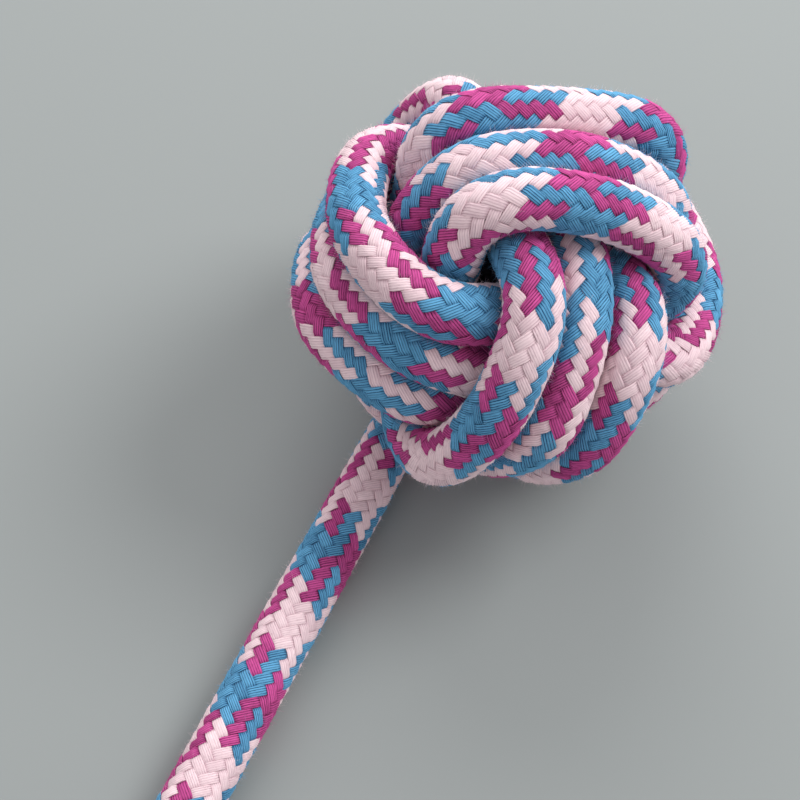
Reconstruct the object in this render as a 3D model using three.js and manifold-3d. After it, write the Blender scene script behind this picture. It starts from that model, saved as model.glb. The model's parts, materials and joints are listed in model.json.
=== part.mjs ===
// Rope dog toy: a ball wound and tucked from one soft braided cotton rope, three turns each
// way round a stuffing ball, with one tail of the same rope that ends in a stopper knot and a
// frayed tassel. Millimetres, +Z up. The toy lies on z = 0 with its tail towards -Y. It is
// made with its ball over the origin, and moved at the end.
import * as THREE from 'three';
import Module from 'manifold-3d';
import { mergeVertices } from 'three/addons/utils/BufferGeometryUtils.js';

const wasm = await Module();
wasm.setup();

// Driving dimensions of the rope
const ropeDiameter = 12;
const fillerDiameter = 6;
const fillerClearance = 0.3;
const meetingGap = 0.3;

// The ball: turns a pitch apart, on a ball of stuffing, pressed flat where it stands
const turnsEachWay = 3;
const turnPitch = 11.6;
const turnClearance = 1.6;
const stuffingPitchesShare = 1.4;
const stuffingClearance = 0.5;
const ballFlatDepth = 0.9;
const centreHeightShare = 3.4;

// The tail: out of the ball, down to the floor, and straight on to its knot
const exitBendRadius = 12;
const exitStraight = 51;
const exitBendEnd = 20;
const tailAside = 12.5;
const nearTailLength = 66;
const farTailLength = 52;
const tailRise = 9;

// The stopper knot and the tassel beyond it
const knotPitch = 11.2;
const knotSpan = 60;
const tasselLength = 34;
const tasselMouthWidth = 30;
const tasselMouthHeight = 16;
const tasselOpenShare = 0.85;
const climbEndShare = 0.6;

// How finely round shapes are cut
const ropeSides = 12;
const woundSides = 6;
const stepsPerTurn = 24;
const tailStepShare = 0.8;
const tasselRings = 6;
const overrun = 5;
// Above this share of upright, a tube's first ring is set level with X and not with Z
const steepShare = 0.9;

// How the ball lies: the bundles of turns run along three directions, each square to the
// other two, turned on the floor and then leaned over.
const ballPose = new THREE.Euler(
  THREE.MathUtils.degToRad(5),
  THREE.MathUtils.degToRad(-23),
  THREE.MathUtils.degToRad(-144.5),
  'ZYX',
);

// Sizes that follow
const ropeRadius = ropeDiameter / 2;
const fillerRadius = fillerDiameter / 2;
const woundRadius = (turnPitch - turnClearance) / 2;
const stuffingReach = turnPitch * stuffingPitchesShare;
const stuffingRadius = stuffingReach + turnPitch / 2 - woundRadius - stuffingClearance;
const ballCentre = new THREE.Vector3(0, 0, turnPitch * centreHeightShare);
const restHeight = ropeRadius * Math.cos(Math.PI / ropeSides);
const woundEnd = exitBendEnd + exitStraight;
const swingPivot = woundEnd + meetingGap + ropeRadius;
const bendPivot = swingPivot + nearTailLength;
const nearTailEnd = bendPivot - ropeRadius - meetingGap;
const farTailEnd = bendPivot + farTailLength;
const knotStart = farTailEnd + meetingGap;
const knotEnd = knotStart + knotSpan;
const knotHeight = restHeight + tailRise;
const knotRadius = (knotPitch - turnClearance) / 2;

const cloth = (colour, roughness) => new THREE.MeshStandardMaterial({
  color: new THREE.Color(colour), roughness, metalness: 0,
});
const finishes = {
  ballCotton: cloth('#c78fb4', 0.95),
  nearCotton: cloth('#7fb0d0', 0.95),
  farCotton: cloth('#9fb6d6', 0.95),
  knotCotton: cloth('#b77fae', 0.95),
  filler: cloth('#6d6a68', 0.98),
  stuffing: cloth('#b9b2a6', 0.98),
  frayed: cloth('#e0c4d2', 0.98),
};

const toy = new THREE.Group();
const addPiece = (name, geometry, material) => {
  const mesh = new THREE.Mesh(geometry, material);
  mesh.name = name;
  toy.add(mesh);
};

// A closed mesh as a solid, and back
const solidOf = (geometry) => {
  const bare = geometry.index ? geometry.toNonIndexed() : geometry.clone();
  for (const name of Object.keys(bare.attributes)) {
    if (name !== 'position') bare.deleteAttribute(name);
  }
  const merged = mergeVertices(bare, 1e-4);
  return new wasm.Manifold(new wasm.Mesh({
    numProp: 3,
    vertProperties: new Float32Array(merged.attributes.position.array),
    triVerts: new Uint32Array(merged.index.array),
  }));
};
const geometryOf = (solid) => {
  const { vertProperties, triVerts } = solid.getMesh();
  const geometry = new THREE.BufferGeometry();
  geometry.setAttribute('position', new THREE.BufferAttribute(vertProperties, 3));
  geometry.setIndex(new THREE.BufferAttribute(triVerts, 1));
  return geometry;
};

// Points evenly spaced along a line of points, and its length
const lengthOf = (points) => points.slice(1)
  .reduce((sum, point, i) => sum + point.distanceTo(points[i]), 0);
const respace = (points, count) => {
  const reached = [0];
  for (let i = 1; i < points.length; i += 1) {
    reached.push(reached[i - 1] + points[i].distanceTo(points[i - 1]));
  }
  const spaced = [];
  let k = 1;
  for (let i = 0; i <= count; i += 1) {
    const along = (reached[points.length - 1] * i) / count;
    while (k < points.length - 1 && reached[k] < along) k += 1;
    const share = (along - reached[k - 1]) / (reached[k] - reached[k - 1]);
    spaced.push(points[k - 1].clone().lerp(points[k], Math.min(1, share)));
  }
  return spaced;
};

const smoothPoints = (points, count) => {
  const curve = new THREE.CatmullRomCurve3(points);
  curve.arcLengthDivisions = 4 * count;
  return curve.getSpacedPoints(count);
};

// Pulls a laid rope tight. Each point is drawn between its neighbours, kept from bending
// sharply, and pushed off other turns nearer than the pitch, out of the stuffing and up
// from the floor. The last rounds only settle the pushes. The ends given as held stay put.
const drawShare = 0.2;
const stiffShare = 0.04;
const pushShare = 0.6;
const stepShare = 0.36;
const settleShare = 0.1;
const nearbyPoints = 4;
const roundsBetweenSpacings = 25;
const ballRounds = 500;
const knotRounds = 800;
const drawnShare = 0.75;
const spacedShare = 0.7;
const pullTight = (laid, { pitch, stuffing, floor, rounds, heldStart, heldEnd }) => {
  const step = stepShare * pitch;
  let rope = respace(laid, Math.round(lengthOf(laid) / step));
  for (let round = 0; round < rounds; round += 1) {
    const draw = round < rounds * drawnShare ? drawShare : drawShare * settleShare;
    const last = rope.length - 1;
    const bends = rope.map((point, i) => (i === 0 || i === last
      ? new THREE.Vector3()
      : rope[i - 1].clone().add(rope[i + 1]).addScaledVector(point, -2)));
    const next = rope.map((point, i) => point.clone().addScaledVector(bends[i], draw / 2));
    for (let i = 2; i < last - 1; i += 1) {
      const change = bends[i - 1].clone().add(bends[i + 1]).addScaledVector(bends[i], -2);
      next[i].addScaledVector(change, -stiffShare);
    }
    const pushes = next.map(() => new THREE.Vector3());
    const touching = next.map(() => 0);
    for (let i = 0; i <= last; i += 1) {
      for (let j = i + nearbyPoints + 1; j <= last; j += 1) {
        const apart = next[i].distanceTo(next[j]);
        if (apart < pitch) {
          const away = next[i].clone().sub(next[j]).multiplyScalar((pitch - apart) / apart);
          pushes[i].add(away);
          pushes[j].sub(away);
          touching[i] += 1;
          touching[j] += 1;
        }
      }
    }
    next.forEach((point, i) => {
      point.addScaledVector(pushes[i], pushShare / Math.sqrt(Math.max(touching[i], 1)));
      if (stuffing) {
        const out = point.clone().sub(stuffing.centre);
        if (out.length() < stuffing.radius) {
          point.copy(stuffing.centre).addScaledVector(out.normalize(), stuffing.radius);
        }
      }
      point.z = Math.max(point.z, floor);
      if (i < heldStart || i > last - heldEnd) point.copy(rope[i]);
    });
    rope = next;
    if ((round + 1) % roundsBetweenSpacings === 0 && round < rounds * spacedShare) {
      rope = respace(rope, Math.round(lengthOf(rope) / step));
    }
  }
  return rope;
};

// Faces of a tube of rings of points, with a middle point for each flat end after the rings
const tubeFaces = (last, sides) => {
  const faces = [];
  const startMiddle = (last + 1) * sides;
  for (let i = 0; i < last; i += 1) {
    for (let k = 0; k < sides; k += 1) {
      const a = i * sides + k;
      const b = i * sides + ((k + 1) % sides);
      faces.push(a, b, b + sides, a, b + sides, a + sides);
    }
  }
  for (let k = 0; k < sides; k += 1) {
    const b = (k + 1) % sides;
    faces.push(startMiddle, b, k, startMiddle + 1, last * sides + k, last * sides + b);
  }
  return faces;
};

// One unbroken round tube along a line of points, with flat ends
const tubeAlong = (points, radius, sides) => {
  const last = points.length - 1;
  const tangents = points.map((point, i) => points[Math.min(i + 1, last)].clone()
    .sub(points[Math.max(i - 1, 0)]).normalize());
  const level = Math.abs(tangents[0].z) < steepShare ? new THREE.Vector3(0, 0, 1)
    : new THREE.Vector3(1, 0, 0);
  const across = level.clone().cross(tangents[0]).normalize();
  const positions = [];
  points.forEach((point, i) => {
    if (i > 0) {
      const turn = new THREE.Quaternion().setFromUnitVectors(tangents[i - 1], tangents[i]);
      across.applyQuaternion(turn).normalize();
    }
    const upward = tangents[i].clone().cross(across).normalize();
    for (let k = 0; k < sides; k += 1) {
      const angle = (2 * Math.PI * (k + 0.5)) / sides;
      const corner = point.clone().addScaledVector(across, radius * Math.cos(angle))
        .addScaledVector(upward, radius * Math.sin(angle));
      positions.push(corner.x, corner.y, corner.z);
    }
  });
  positions.push(...points[0].toArray(), ...points[last].toArray());
  const geometry = new THREE.BufferGeometry();
  geometry.setAttribute('position', new THREE.Float32BufferAttribute(positions, 3));
  geometry.setIndex(tubeFaces(last, sides));
  return geometry;
};

// The least gap of a wound tube to itself, between points along it that are more than half
// a turn of its own width apart
const leastGap = (points, diameter) => {
  const fine = respace(points, points.length * 3);
  const step = lengthOf(fine) / (fine.length - 1);
  const skip = Math.ceil((Math.PI * diameter) / 2 / step);
  let least = Infinity;
  for (let i = 0; i < fine.length; i += 1) {
    for (let j = i + skip; j < fine.length; j += 1) {
      least = Math.min(least, fine[i].distanceTo(fine[j]));
    }
  }
  return least - diameter;
};

// The ball's rope. Each bundle of turns goes round in the plane of two directions, far out
// where it lies over the bundle it wraps and close in where the next one wraps it.
const turnDirections = ['x', 'y', 'z'].map((axis) => {
  const direction = new THREE.Vector3();
  direction[axis] = 1;
  return direction.applyEuler(ballPose);
});
const innerTurnRadius = stuffingReach + turnPitch / 2;
const outerTurnRadius = innerTurnRadius + turnPitch;
const looseShare = 1.08;
const roundShare = 0.9;
const stepsPerQuarter = 10;
const stepsPerBundle = 4 * turnsEachWay * stepsPerQuarter;
const layBundle = (long, short, across, startAngle, sense, firstSide, steps) => {
  const laid = [];
  for (let i = 0; i < steps; i += 1) {
    const angle = startAngle + (sense * Math.PI * i) / 2 / stepsPerQuarter;
    const turns = i / stepsPerQuarter / 4;
    const done = Math.min(Math.floor(turns), turnsEachWay - 1);
    const stepOver = done < turnsEachWay - 1 ? Math.max(0, (turns - done) * 4 - 3) : 0;
    const aside = firstSide * ((turnsEachWay - 1) / 2 - done - stepOver) * turnPitch;
    const level = (innerTurnRadius + outerTurnRadius) / 2
      + ((outerTurnRadius - innerTurnRadius) / 2) * Math.cos(2 * angle);
    const radius = looseShare * Math.sqrt(level ** 2 - (roundShare * aside) ** 2);
    laid.push(ballCentre.clone()
      .addScaledVector(long, radius * Math.cos(angle))
      .addScaledVector(short, radius * Math.sin(angle))
      .addScaledVector(across, aside));
  }
  return laid;
};
const eighth = Math.PI / 4;
const [first, second, third] = turnDirections;
const buriedEnd = ballCentre.clone().addScaledVector(
  third.clone().sub(first).sub(second).normalize(),
  innerTurnRadius,
);
// The last turn stops half a quarter early, under the ball. The tail leaves from there the way
// that turn runs, level, and bends to its own heading.
const lastQuarterShare = 0.5;
const stepsInLastBundle = stepsPerBundle - lastQuarterShare * stepsPerQuarter;
const exitHeading = first.clone().setZ(0).normalize();
const tailHeading = new THREE.Vector3(0, -1, 0);
const exitAngle = exitHeading.angleTo(tailHeading);
const exitInward = tailHeading.clone()
  .addScaledVector(exitHeading, -Math.cos(exitAngle)).normalize();
const exitBendAt = (angle) => new THREE.Vector3(-tailAside, -exitBendEnd, restHeight)
  .addScaledVector(exitHeading, exitBendRadius * (Math.sin(angle) - Math.sin(exitAngle)))
  .addScaledVector(exitInward, exitBendRadius * (Math.cos(exitAngle) - Math.cos(angle)));
const exitBend = [];
for (let i = 0; i <= stepsPerQuarter; i += 1) {
  exitBend.push(exitBendAt((exitAngle * i) / stepsPerQuarter));
}
const woundTip = new THREE.Vector3(-tailAside, -woundEnd, restHeight);
const heldLength = exitAngle * exitBendRadius + exitStraight;
const ballLine = pullTight(
  [
    buriedEnd,
    ...layBundle(first, second, third, 5 * eighth, -1, 1, stepsPerBundle),
    ...layBundle(second, third, first, 5 * eighth, -1, -1, stepsPerBundle),
    ...layBundle(third, first, second, 3 * eighth, -1, 1, stepsInLastBundle),
    ...exitBend,
    woundTip,
  ],
  {
    pitch: turnPitch,
    stuffing: { centre: ballCentre, radius: innerTurnRadius },
    floor: woundRadius - ballFlatDepth,
    rounds: ballRounds,
    heldStart: 1,
    heldEnd: Math.floor(heldLength / (stepShare * turnPitch)),
  },
);
const turnsInBall = 3 * turnsEachWay + 3;
const ballPoints = smoothPoints(ballLine, turnsInBall * stepsPerTurn);
console.log('ball_rope length', lengthOf(ballLine).toFixed(0), 'mm');
console.log('ball_rope least gap to itself', leastGap(ballPoints, 2 * woundRadius).toFixed(2));

// What lies under the floor is cut away, which leaves the flat that the ball stands on
const reach = 2 * (knotEnd + tasselLength);
const underFloor = new THREE.BoxGeometry(reach, reach, reach).translate(0, 0, -reach / 2);
const standing = (geometry) => geometryOf(solidOf(geometry).subtract(solidOf(underFloor)));
addPiece('ball_rope', standing(tubeAlong(ballPoints, woundRadius, woundSides)),
  finishes.ballCotton);
addPiece('stuffing_ball', new THREE.SphereGeometry(stuffingRadius, 2 * ropeSides, ropeSides)
  .translate(...ballCentre.toArray()), finishes.stuffing);

// The stopper knot: a simple overhand knot, laid as the long open trefoil curve and pulled
// tight between two short straight ends, off the floor by half its own height
const trefoil = (t) => new THREE.Vector3(t ** 3 - 3 * t, -(t ** 5 - 10 * t), t ** 4 - 4 * t ** 2);
const trefoilEndShare = 2.1;
const trefoilSteps = 60;
const trefoilWidthShare = 0.65;
const trefoilLengthShare = 0.1;
const knotMiddle = new THREE.Vector3(-tailAside, -(knotStart + knotEnd) / 2, knotHeight);
const knotSize = new THREE.Vector3(trefoilWidthShare, trefoilLengthShare, trefoilWidthShare)
  .multiplyScalar(knotPitch);
const knotLaid = [];
for (let i = 0; i <= trefoilSteps; i += 1) {
  const t = trefoilEndShare * ((2 * i) / trefoilSteps - 1);
  knotLaid.push(trefoil(-t).multiply(knotSize).add(knotMiddle));
}
const knotIn = new THREE.Vector3(-tailAside, -knotStart, knotHeight);
const knotOut = new THREE.Vector3(-tailAside, -knotEnd, knotHeight);
const straightEnd = new THREE.Vector3(0, -ropeDiameter, 0);
const knotLine = pullTight(
  [knotIn, knotIn.clone().add(straightEnd), ...knotLaid,
    knotOut.clone().sub(straightEnd), knotOut],
  {
    pitch: knotPitch,
    floor: knotRadius,
    rounds: knotRounds,
    heldStart: Math.ceil(ropeDiameter / (stepShare * knotPitch)),
    heldEnd: Math.ceil(ropeDiameter / (stepShare * knotPitch)),
  },
);
const knotTurns = 2;
const knotPoints = smoothPoints(knotLine, knotTurns * stepsPerTurn);
console.log('stopper_knot length', lengthOf(knotLine).toFixed(0), 'mm');
console.log('stopper_knot least gap to itself', leastGap(knotPoints, 2 * knotRadius).toFixed(2));
addPiece('stopper_knot', geometryOf(solidOf(tubeAlong(knotPoints, knotRadius, woundSides))),
  finishes.knotCotton);

// The tail's two free stretches: a braided cover round a filler, rounded at the pivot end.
// The near one lies along the floor, and the far one climbs to the middle of the knot.
const ropeSection = (radius) => {
  const section = new THREE.Shape();
  for (let k = 0; k < ropeSides; k += 1) {
    const angle = (2 * Math.PI * (k + 0.5)) / ropeSides;
    const corner = [radius * Math.cos(angle), radius * Math.sin(angle)];
    if (k === 0) section.moveTo(...corner);
    else section.lineTo(...corner);
  }
  section.closePath();
  return section;
};
const tailPoint = (ahead, rise) => new THREE.Vector3(-tailAside, -ahead, restHeight + rise);
const routeFrom = (start, end, riseFrom, riseTo) => {
  const steps = Math.ceil((end - start) / (tailStepShare * ropeDiameter));
  const points = [];
  for (let i = 0; i <= steps; i += 1) {
    const ahead = start + ((end - start) * i) / steps;
    const climbed = THREE.MathUtils.smoothstep(ahead, riseFrom, riseTo);
    points.push(tailPoint(ahead, tailRise * climbed));
  }
  return new THREE.CatmullRomCurve3(points);
};
const ropeAlong = (route, radius) => solidOf(new THREE.ExtrudeGeometry(ropeSection(radius), {
  steps: route.points.length - 1,
  bevelEnabled: false,
  extrudePath: route,
}));
const addStretch = (name, { pivot, end, riseFrom, riseTo, finish }) => {
  const roundEnd = solidOf(new THREE.SphereGeometry(ropeRadius, 2 * ropeSides, ropeSides)
    .translate(...tailPoint(pivot, 0).toArray()));
  const before = pivot - ropeDiameter;
  const body = routeFrom(pivot, end, riseFrom, riseTo);
  const throughout = routeFrom(before, end + overrun, riseFrom, riseTo);
  const intoRoundEnd = routeFrom(before, pivot + overrun, riseFrom, riseTo);
  const cover = ropeAlong(body, ropeRadius).add(roundEnd)
    .subtract(ropeAlong(throughout, fillerRadius + fillerClearance));
  const filler = ropeAlong(body, fillerRadius)
    .add(ropeAlong(intoRoundEnd, fillerRadius).intersect(roundEnd));
  addPiece(`tail_cover_${name}`, geometryOf(cover), finish);
  addPiece(`tail_filler_${name}`, geometryOf(filler), finishes.filler);
};
addStretch('near', {
  pivot: swingPivot,
  end: nearTailEnd,
  riseFrom: farTailEnd - ropeDiameter,
  riseTo: farTailEnd,
  finish: finishes.nearCotton,
});
addStretch('far', {
  pivot: bendPivot,
  end: farTailEnd,
  riseFrom: bendPivot + ropeRadius,
  riseTo: farTailEnd - climbEndShare * ropeDiameter,
  finish: finishes.farCotton,
});

// The tassel: the rope's own yarns, frayed out past the knot and fallen to the floor
const tasselStart = knotEnd + meetingGap;
const tasselSections = [];
for (let i = 0; i <= tasselRings; i += 1) {
  const along = i / tasselRings;
  const opened = THREE.MathUtils.smoothstep(along, 0, tasselOpenShare);
  const halfWidth = THREE.MathUtils.lerp(knotRadius, tasselMouthWidth / 2, opened);
  const halfHeight = THREE.MathUtils.lerp(knotRadius, tasselMouthHeight / 2, opened);
  const height = THREE.MathUtils.lerp(knotHeight, tasselMouthHeight / 2, opened);
  tasselSections.push({ ahead: tasselStart + tasselLength * along, halfWidth, halfHeight, height });
}
const tasselPositions = [];
for (const { ahead, halfWidth, halfHeight, height } of tasselSections) {
  for (let k = 0; k < ropeSides; k += 1) {
    const angle = (2 * Math.PI * (k + 0.5)) / ropeSides;
    tasselPositions.push(
      halfWidth * Math.cos(angle) - tailAside,
      -ahead,
      height + halfHeight * Math.sin(angle),
    );
  }
}
const tassel = new THREE.BufferGeometry();
tassel.setAttribute('position', new THREE.Float32BufferAttribute([
  ...tasselPositions,
  -tailAside, -tasselStart, knotHeight,
  -tailAside, -tasselStart - tasselLength, tasselMouthHeight / 2,
], 3));
tassel.setIndex(tubeFaces(tasselRings, ropeSides));
addPiece('frayed_tassel', tassel, finishes.frayed);

// The origin is on the floor under the middle of the whole toy
const middle = new THREE.Box3().setFromObject(toy).getCenter(new THREE.Vector3());
toy.position.set(-middle.x, -middle.y, 0);
console.log('swing pivot', ...[-tailAside - middle.x, -swingPivot - middle.y].map(Math.round));
console.log('bend pivot', ...[-tailAside - middle.x, -bendPivot - middle.y].map(Math.round));

export default toy;
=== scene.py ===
# Rope dog toy: a ball wound and tucked from one soft braided cotton rope, with a tail of the
# same rope that ends in a stopper knot and a frayed tassel.
# The rope's line is laid and pulled tight first, in millimetres. A skin follows that line,
# pressed flat where turns touch, and the braid's floats are then placed on the skin.
import json
import math

import bpy
import numpy as np
from mathutils import Matrix


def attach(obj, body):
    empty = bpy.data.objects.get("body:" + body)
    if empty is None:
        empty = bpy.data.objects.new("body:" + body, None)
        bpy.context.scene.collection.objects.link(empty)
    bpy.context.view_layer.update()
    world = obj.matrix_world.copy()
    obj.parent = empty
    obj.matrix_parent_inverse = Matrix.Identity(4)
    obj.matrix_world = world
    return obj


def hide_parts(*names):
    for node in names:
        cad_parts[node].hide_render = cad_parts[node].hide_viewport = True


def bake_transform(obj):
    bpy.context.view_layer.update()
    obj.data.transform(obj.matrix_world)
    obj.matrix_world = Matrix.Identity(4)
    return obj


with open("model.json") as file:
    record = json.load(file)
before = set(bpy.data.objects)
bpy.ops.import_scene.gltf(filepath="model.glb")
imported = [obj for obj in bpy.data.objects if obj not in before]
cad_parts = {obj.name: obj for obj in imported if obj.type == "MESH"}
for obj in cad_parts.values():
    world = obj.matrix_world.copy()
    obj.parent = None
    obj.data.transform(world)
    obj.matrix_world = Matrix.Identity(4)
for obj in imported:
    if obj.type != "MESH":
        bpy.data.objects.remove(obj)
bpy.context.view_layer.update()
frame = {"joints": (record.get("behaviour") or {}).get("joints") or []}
mm = 0.001
mathNode = "ShaderNodeMath"
dyes = ("Magenta", "Blue", "White")     # of the yarns, in the order of their numbers


# Small helpers

def unit(vector):
    return vector / np.linalg.norm(vector, axis=-1, keepdims=True)


def smoothStep(value, low, high):
    share = np.clip((value - low) / (high - low), 0, 1)
    return share * share * (3 - 2 * share)


def lengthsAlong(points):
    return np.concatenate([[0], np.cumsum(np.linalg.norm(np.diff(points, axis=0), axis=1))])


def pointsAt(points, reached, wanted):
    return np.stack([np.interp(wanted, reached, points[:, axis]) for axis in range(3)], axis=1)


def respaced(points, count):
    reached = lengthsAlong(points)
    return pointsAt(points, reached, np.linspace(0, reached[-1], count + 1))


def linear(hexColour):
    # An sRGB hex colour as Blender's linear one
    levels = [int(hexColour[i:i + 2], 16) / 255 for i in (1, 3, 5)]
    return [v / 12.92 if v <= 0.04045 else ((v + 0.055) / 1.055) ** 2.4 for v in levels] + [1]


def newObject(name, data):
    made = bpy.data.objects.new(name, data)
    bpy.context.scene.collection.objects.link(made)
    return made


def meshObject(name, points, faces):
    mesh = bpy.data.meshes.new(name)
    mesh.from_pydata([tuple(p) for p in points * mm], [], faces)
    mesh.polygons.foreach_set("use_smooth", [True] * len(mesh.polygons))
    mesh.update()
    return newObject(name, mesh)


def pointObject(name, data, right, back, place):
    # A camera or a lamp, set at a place in mm and turned to look away from its back
    upward = np.cross(back, right)
    made = newObject(name, data)
    rows = [[right[i], upward[i], back[i], place[i] * mm] for i in range(3)]
    made.matrix_world = Matrix(rows + [[0, 0, 0, 1]])
    return made


def nodeAdder(tree):
    # The small function that adds a node to this tree with its settings and links. Inputs go
    # by name or number, and take a value, a socket or a node's first output.
    def add(kind, inputs=None, **settings):
        node = tree.nodes.new(kind)
        for name, value in settings.items():
            setattr(node, name, value)
        for name, value in (inputs or {}).items():
            socket = node.inputs[name] if isinstance(name, int) else next(
                s for s in node.inputs if s.name == name and s.enabled)
            if isinstance(value, bpy.types.Node):
                value = next(s for s in value.outputs if s.enabled)
            if isinstance(value, bpy.types.NodeSocket):
                tree.links.new(value, socket)
            else:
                socket.default_value = value
        return node
    return add


def newTree(name, inputs, result):
    # A Geometry Nodes tree, with the names of its inputs under their kinds
    tree = bpy.data.node_groups.new(name, "GeometryNodeTree")
    for kind, names in inputs.items():
        for given in names:
            tree.interface.new_socket(
                name=given, in_out="INPUT", socket_type="NodeSocket" + kind)
    tree.interface.new_socket(name=result, in_out="OUTPUT", socket_type="NodeSocketGeometry")
    add = nodeAdder(tree)
    return tree, add, add("NodeGroupInput").outputs


def newMaterial(name):
    made = bpy.data.materials.new(name)
    made.use_nodes = True
    made.node_tree.nodes.clear()
    return made, nodeAdder(made.node_tree)


# The camera, set where the photographer's was: above the toy and on the tail's left

view = {
    "elevation": 60,        # degrees above the floor
    "bearing": 25.8,        # degrees round from the tail's direction
    "distance": 360,        # mm to the ball's middle, along the line of sight
    "lens": 82.3,           # mm, on a 36 mm sensor
    "sensor": 36,
    "picture": 800,         # pixels, both ways
    "ballPixel": (506, 277.5),
    "clips": (0.01, 20),    # m, the nearest and the farthest that it sees
}

# How the rope was tied, in mm, the same as the part's own

tying = {
    "ropeDiameter": 12, "turnPitch": 11.6, "turnsEachWay": 3, "turnClearance": 1.6,
    "stuffingPitches": 1.4, "centrePitches": 3.4, "ballFlatDepth": 0.9,
    "ballTurned": (5, -23, -144.5),     # degrees about X, Y and Z
    "exitBendRadius": 12, "exitBendEnd": 20, "exitStraight": 51, "tailAside": 12.5,
    "tailSides": 12, "nearTail": 66, "farTail": 52, "tailRise": 9, "meetingGap": 0.3,
    "climbEnd": 0.6,
    "knotPitch": 11.2, "knotSpan": 60,
    "trefoilEnd": 2.1, "trefoilPoints": 61,
    "trefoilSize": (0.65, 0.1, 0.65),   # in knot pitches
}
pulling = {
    "draw": 0.2, "settle": 0.1, "stiff": 0.04, "push": 0.6, "step": 0.36, "nearby": 4,
    "respaceEvery": 25, "drawnShare": 0.75, "spacedShare": 0.7,
    "ballRounds": 500, "knotRounds": 800,
    "exitPoints": 11, "tailStep": 2.0,
    "pointsPerSpan": 5,         # of the smooth curve through the pulled line
}

ropeRadius = tying["ropeDiameter"] / 2
restHeight = ropeRadius * math.cos(math.pi / tying["tailSides"])
woundRadius = (tying["turnPitch"] - tying["turnClearance"]) / 2
woundEnd = tying["exitBendEnd"] + tying["exitStraight"]
swingPivot = woundEnd + tying["meetingGap"] + ropeRadius
bendPivot = swingPivot + tying["nearTail"]
farTailEnd = bendPivot + tying["farTail"]
knotStart = farTailEnd + tying["meetingGap"]
knotEnd = knotStart + tying["knotSpan"]
knotHeight = restHeight + tying["tailRise"]
knotRadius = (tying["knotPitch"] - tying["turnClearance"]) / 2
ballHeight = tying["turnPitch"] * tying["centrePitches"]

# The rope is laid with the ball over the origin. The swing joint says where the part has it.
jointPlaces = {joint["name"]: np.array(joint["pos_m"]) / mm for joint in frame["joints"]}
shift = jointPlaces["tail_swing"] - np.array([-tying["tailAside"], -swingPivot, restHeight])
ballCentre = np.array([0, 0, ballHeight])


def turnedDirections(degrees):
    a, b, c = np.radians(degrees)
    aboutX = np.array([[1, 0, 0], [0, math.cos(a), -math.sin(a)], [0, math.sin(a), math.cos(a)]])
    aboutY = np.array([[math.cos(b), 0, math.sin(b)], [0, 1, 0], [-math.sin(b), 0, math.cos(b)]])
    aboutZ = np.array([[math.cos(c), -math.sin(c), 0], [math.sin(c), math.cos(c), 0], [0, 0, 1]])
    return (aboutZ @ aboutY @ aboutX).T


def pullTight(laid, pitch, floor, rounds, heldStart, heldEnd, innerRadius=0):
    # Draws each point between its neighbours and pushes it off other turns, as the part does
    step = pulling["step"] * pitch
    line = respaced(laid, round(lengthsAlong(laid)[-1] / step))
    for turn in range(rounds):
        drawn = turn < rounds * pulling["drawnShare"]
        draw = pulling["draw"] * (1 if drawn else pulling["settle"])
        bends = np.zeros_like(line)
        bends[1:-1] = line[:-2] + line[2:] - 2 * line[1:-1]
        moved = line + bends * draw / 2
        moved[2:-2] -= pulling["stiff"] * (bends[1:-3] + bends[3:-1] - 2 * bends[2:-2])
        first, second = np.triu_indices(len(line), pulling["nearby"] + 1)
        between = moved[first] - moved[second]
        apart = np.linalg.norm(between, axis=1)
        close = apart < pitch
        first, second = first[close], second[close]
        away = between[close] * ((pitch - apart[close]) / apart[close])[:, None]
        pushes = np.zeros_like(line)
        np.add.at(pushes, first, away)
        np.add.at(pushes, second, -away)
        touching = np.bincount(first, minlength=len(line)) + np.bincount(
            second, minlength=len(line))
        moved += pushes * (pulling["push"] / np.sqrt(np.maximum(touching, 1)))[:, None]
        if innerRadius:
            out = moved - ballCentre
            far = np.linalg.norm(out, axis=1)
            inside = far < innerRadius
            moved[inside] = ballCentre + out[inside] * (innerRadius / far[inside])[:, None]
        moved[:, 2] = np.maximum(moved[:, 2], floor)
        moved[:heldStart] = line[:heldStart]
        moved[len(line) - heldEnd:] = line[len(line) - heldEnd:]
        line = moved
        if (turn + 1) % pulling["respaceEvery"] == 0 and turn < rounds * pulling["spacedShare"]:
            line = respaced(line, round(lengthsAlong(line)[-1] / step))
    return line


def layBundle(long, short, across, startAngle, sense, firstSide, quarters):
    # Turns side by side, far out over the bundle they wrap and close in under the next
    stepsPerQuarter, loose, rounded = 10, 1.08, 0.9
    inner = tying["turnPitch"] * (tying["stuffingPitches"] + 0.5)
    outer = inner + tying["turnPitch"]
    turns = tying["turnsEachWay"]
    laid = []
    for i in range(int(quarters * stepsPerQuarter)):
        angle = startAngle + sense * math.pi * i / 2 / stepsPerQuarter
        gone = i / stepsPerQuarter / 4
        done = min(math.floor(gone), turns - 1)
        stepOver = max(0, (gone - done) * 4 - 3) if done < turns - 1 else 0
        aside = firstSide * ((turns - 1) / 2 - done - stepOver) * tying["turnPitch"]
        level = (inner + outer) / 2 + (outer - inner) / 2 * math.cos(2 * angle)
        radius = loose * math.sqrt(level ** 2 - (rounded * aside) ** 2)
        laid.append(ballCentre + long * radius * math.cos(angle)
                    + short * radius * math.sin(angle) + across * aside)
    return laid


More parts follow.
